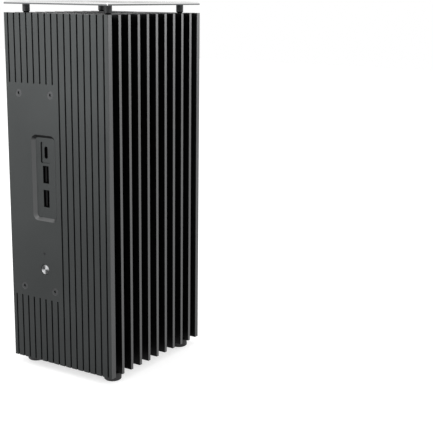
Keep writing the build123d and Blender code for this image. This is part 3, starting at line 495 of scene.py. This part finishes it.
frontA, frontC, frontTongues, rearTongues, jack = [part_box(name) for name in (
    "front_usb_a_ports", "front_usb_c_port", "front_port_tongues", "rear_port_tongues", "network_jack")]
contactRows = []
for height in (frontA[0].z + usbA["shellHeight"] / 2, frontA[1].z - usbA["shellHeight"] / 2):
    x, tip = frontTongues[0].x + usbA["tongue"], frontTongues[0].y + usbA["frontSetback"]
    contactRows.append(contactRow(usbA["strips"], x, tip, height, 1))
for x in (rearTongues[1].x - usbA["rearPitch"], rearTongues[1].x):
    tip, height = rearTongues[1].y - usbA["rearSetback"], middleOf("rear_usb_stack").z
    contactRows.append(contactRow(usbA["strips"], x, tip, height, -1))
for side in (-1, 1):
    x = frontC[0].x + usbC["frontReach"] + side * usbC["tongueHalf"]
    tip, height = frontC[0].y + usbC["setback"], middleOf("front_usb_c_port").z
    contactRows.append(contactRow(usbC["strips"], x, tip, height, 1, side))
    for stack in ("display_stack_upper", "display_stack_lower"):
        foot, tip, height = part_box(stack)[0].x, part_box(stack)[1].y - displaySetback, middleOf(stack).z
        x = foot + usbC["rearReach"] + side * usbC["tongueHalf"]
        contactRows.append(contactRow(usbC["strips"], x, tip, height, -1, side))
        contactRows.append(contactRow(hdmi["strips"], foot + hdmi["faces"][side], tip, height, -1, side))
contactRows.append(contactRow(
    network["strips"], jack[0].x + network["reach"], jack[1].y - network["setback"],
    middleOf("network_jack").z, -1))
goldPlate = stamped("goldPlate", (0.83, 0.61, 0.28), 0.24)
runTree("socketContacts", contactTree(goldPlate), contactRows, "case")
print("socket contacts made:", len(contactRows), "rows")


# parts soldered to the boards

def roundedBlock(tree, given):
    # a block with rounded upright corners that stands on its own footprint
    outline = addNode(tree, "GeometryNodeCurvePrimitiveQuadrilateral")
    feed(tree, outline, {"Width": given.outputs["Width"], "Height": given.outputs["Depth"]})
    rounded = addNode(tree, "GeometryNodeFilletCurve", {"mode": "POLY"}, Curve=outline.outputs["Curve"])
    feed(tree, rounded, {"Radius": given.outputs["Corner"], "Count": 4})
    face = addNode(tree, "GeometryNodeFillCurve", {"mode": "NGONS"}, Curve=rounded.outputs["Curve"])
    rise = addNode(tree, "GeometryNodeExtrudeMesh", Mesh=face.outputs["Mesh"], Individual=False)
    feed(tree, rise, {"Offset Scale": given.outputs["Height"]})
    # the top face is drawn in a little, as on a moulded part
    drawn = addNode(tree, "GeometryNodeScaleElements", Geometry=rise.outputs["Mesh"], Scale=0.94)
    feed(tree, drawn, {"Selection": rise.outputs["Top"]})
    under = addNode(tree, "GeometryNodeFlipFaces", Mesh=face.outputs["Mesh"])
    both = tree.nodes.new("GeometryNodeJoinGeometry")
    for part in (drawn.outputs["Geometry"], under.outputs["Mesh"]):
        tree.links.new(part, both.inputs["Geometry"])
    weld = addNode(tree, "GeometryNodeMergeByDistance", Geometry=both.outputs["Geometry"], Distance=0.000002)
    return weld.outputs["Geometry"]


def blockTree(name, material):
    # a grid of blocks on a face that lies along Y and Z; Side is +1 where they stand out to +X
    tree, given, result = startTree(name, {
        "Rows": 1, "Columns": 4, "Row Pitch": 0.01, "Column Pitch": 0.01, "Width": 0.008, "Depth": 0.01,
        "Corner": 0.0003, "Height": 0.001, "Side": 1.0, "Centre": (0.0, 0.0, 0.0), "Seed": 7, "Spread": 0.0,
        "Keep": 1.0})
    grid = tree.nodes.new("GeometryNodeMeshGrid")
    for count, pitch, size, vertices in (("Columns", "Column Pitch", "Size X", "Vertices X"),
                                         ("Rows", "Row Pitch", "Size Y", "Vertices Y")):
        gaps = calculate(tree, "SUBTRACT", given.outputs[count], 1)
        span = calculate(tree, "MULTIPLY", gaps, given.outputs[pitch])
        feed(tree, grid, {size: span, vertices: given.outputs[count]})
    points = addNode(tree, "GeometryNodeMeshToPoints", Mesh=grid.outputs["Mesh"])
    seed = given.outputs["Seed"]
    chance = addNode(tree, "FunctionNodeRandomValue", {"data_type": "FLOAT"}, Seed=seed)
    dropped = addNode(tree, "FunctionNodeCompare", {"data_type": "FLOAT", "operation": "GREATER_THAN"})
    feed(tree, dropped, {0: chance.outputs[1], 1: given.outputs["Keep"]})
    fewer = addNode(tree, "GeometryNodeDeleteGeometry", {"domain": "POINT"}, Selection=dropped.outputs[0])
    feed(tree, fewer, {"Geometry": points.outputs["Points"]})
    drift = addNode(tree, "FunctionNodeRandomValue", {"data_type": "FLOAT_VECTOR"}, Seed=seed)
    feed(tree, drift, {0: (-1, -1, 0), 1: (1, 1, 0)})
    scatter = addNode(tree, "ShaderNodeVectorMath", {"operation": "SCALE"}, Scale=given.outputs["Spread"])
    feed(tree, scatter, {0: drift.outputs[0]})
    shift = addNode(tree, "GeometryNodeSetPosition", Geometry=fewer.outputs["Geometry"])
    feed(tree, shift, {"Offset": scatter.outputs[0]})
    copies = addNode(tree, "GeometryNodeInstanceOnPoints", Points=shift.outputs["Geometry"])
    feed(tree, copies, {"Instance": roundedBlock(tree, given)})
    # the grid is made flat, then turned up so that its columns run along Z
    quarter = calculate(tree, "MULTIPLY", given.outputs["Side"], math.pi / 2)
    angles = feed(tree, addNode(tree, "ShaderNodeCombineXYZ"), {1: quarter})
    stand = addNode(tree, "GeometryNodeTransform", Geometry=copies.outputs["Instances"])
    feed(tree, stand, {"Rotation": angles.outputs[0], "Translation": given.outputs["Centre"]})
    finishTree(tree, stand.outputs["Geometry"], material, result)
    return tree


def onBoard(board, side, across, up, count, size, pitch=(0.01, 0.01), **others):
    # across from the board's front edge and up from its lower edge; count and pitch go along Y, then Z
    boardLow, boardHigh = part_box(board)
    centre = ((boardHigh if side > 0 else boardLow).x, boardLow.y + across, boardLow.z + up)
    return {
        "Rows": count[0], "Columns": count[1], "Row Pitch": pitch[0], "Column Pitch": pitch[1],
        "Width": size[0], "Depth": size[1], "Height": size[2], "Side": float(side), "Centre": centre,
        **others}


canSize, canCorner = (0.0063, 0.0063, 0.0055), 0.0031
chipCorner = 0.00008
boardParts = {
    "boardPackages": ("chip_black", [
        onBoard("mainboard", -1, 0.0548, 0.0795, (4, 1), (0.0068, 0.0068, 0.003), (0.009, 0.01)),
        onBoard("mainboard", -1, 0.0548, 0.087, (4, 1), (0.003, 0.0034, 0.0009), (0.009, 0.01)),
        onBoard("mainboard", -1, 0.0788, 0.0185, (1, 1), (0.009, 0.009, 0.0009)),
        onBoard("mainboard", 1, 0.0793, 0.0545, (1, 1), (0.005, 0.005, 0.0009)),
        onBoard("front_io_board", 1, 0.0083, 0.08, (1, 2), (0.004, 0.004, 0.0009), (0.01, 0.024)),
    ]),
    "boardCapacitors": ("bare_aluminium", [
        onBoard("mainboard", -1, 0.0228, 0.0785, (3, 1), canSize, (0.0085, 0.01), Corner=canCorner),
        onBoard("mainboard", -1, 0.0508, 0.0135, (2, 1), canSize, (0.0085, 0.01), Corner=canCorner),
    ]),
    "boardResistors": ("steel_shell", [
        onBoard("mainboard", -1, 0.0248, 0.0205, (8, 9), (0.0016, 0.0008, 0.0005), (0.003, 0.0034),
                Corner=chipCorner, Spread=0.0006, Keep=0.62, Seed=11),
        onBoard("mainboard", -1, 0.0568, 0.031, (7, 3), (0.001, 0.0018, 0.0006), (0.0044, 0.0026),
                Corner=chipCorner, Spread=0.0004, Keep=0.85, Seed=4),
        onBoard("front_io_board", 1, 0.0088, 0.029, (3, 12), (0.0016, 0.0008, 0.0005), (0.003, 0.0045),
                Corner=chipCorner, Spread=0.0005, Keep=0.5, Seed=21),
    ]),
}
for pieceName, (slotName, grids) in boardParts.items():
    runTree(pieceName, blockTree(pieceName + "Grid", finishes[slotName]), grids, "case")
print("board parts made:", len(boardParts), "pieces")


# camera, light and floor

view = {
    "place": (0.47256, -0.59037, 0.28342), "target": (0.08752, 0.02079, 0.1227), "roll": 0.6123,
    "lens": 82.045, "sensor": 36, "nearest": 0.01,
}
lights = {
    "frontSoftbox": {"place": (-0.75, -1.15, 0.42), "aim": (0, 0, 0.2), "size": (0.9, 0.6), "power": 9},
    "rearSoftbox": {"place": (0.8, 1.15, 0.45), "aim": (0, 0, 0.2), "size": (0.7, 0.5), "power": 4.5},
    "topSoftbox": {"place": (0.1, -0.1, 1.5), "aim": (0, 0, 0.1), "size": (1.4, 1.4), "power": 4},
}
backdrop = {
    "light": 1.0, "floorSize": 6.0, "floorTones": ((0.54, 0.54, 0.54), (0.58, 0.58, 0.58)), "glow": 0.6,
}


def aimAt(place, target):
    return (Vector(target) - Vector(place)).to_track_quat("-Z", "Y")


cameraData = bpy.data.cameras.new("viewCamera")
cameraData.lens = view["lens"]
cameraData.sensor_width = view["sensor"]
cameraData.clip_start = view["nearest"]
camera = bpy.data.objects.new("viewCamera", cameraData)
bpy.context.scene.collection.objects.link(camera)
look = aimAt(view["place"], view["target"]).to_matrix().to_4x4()
roll = Matrix.Rotation(math.radians(view["roll"]), 4, "Z")
camera.matrix_world = Matrix.Translation(view["place"]) @ look @ roll
bpy.context.scene.camera = camera

for lightName, sizes in lights.items():
    lampData = bpy.data.lights.new(lightName, "AREA")
    lampData.shape = "RECTANGLE"
    lampData.size, lampData.size_y = sizes["size"]
    lampData.energy = sizes["power"]
    lamp = bpy.data.objects.new(lightName, lampData)
    lamp.rotation_euler = aimAt(sizes["place"], sizes["aim"]).to_euler()
    lamp.location = sizes["place"]
    lamp.visible_camera = False
    bpy.context.scene.collection.objects.link(lamp)
world = bpy.data.worlds.new("studio")
world.use_nodes = True
background = world.node_tree.nodes["Background"]
feed(world.node_tree, background, {"Color": (1, 1, 1, 1), "Strength": backdrop["light"]})
bpy.context.scene.world = world
bpy.context.scene.view_settings.view_transform = "Standard"

half = backdrop["floorSize"] / 2
floorMesh = bpy.data.meshes.new("floor")
floorCorners = [(-half, -half, 0), (half, -half, 0), (half, half, 0), (-half, half, 0)]
floorMesh.from_pydata(floorCorners, [], [(0, 1, 2, 3)])
floor = bpy.data.objects.new("floor", floorMesh)
bpy.context.scene.collection.objects.link(floor)
floorMaterial, floorTree, floorShader = startMaterial(
    "paperFloor", Roughness=0.9, Specular_IOR_Level=0.1, Emission_Color=(1, 1, 1, 1),
    Emission_Strength=backdrop["glow"])
fibres = noise(floorTree, objectPoint(floorTree), 900, 3)
feed(floorTree, floorShader, {"Base Color": mixColour(floorTree, fibres, *backdrop["floorTones"])})
floorMesh.materials.append(floorMaterial)
print("camera, light and floor set")
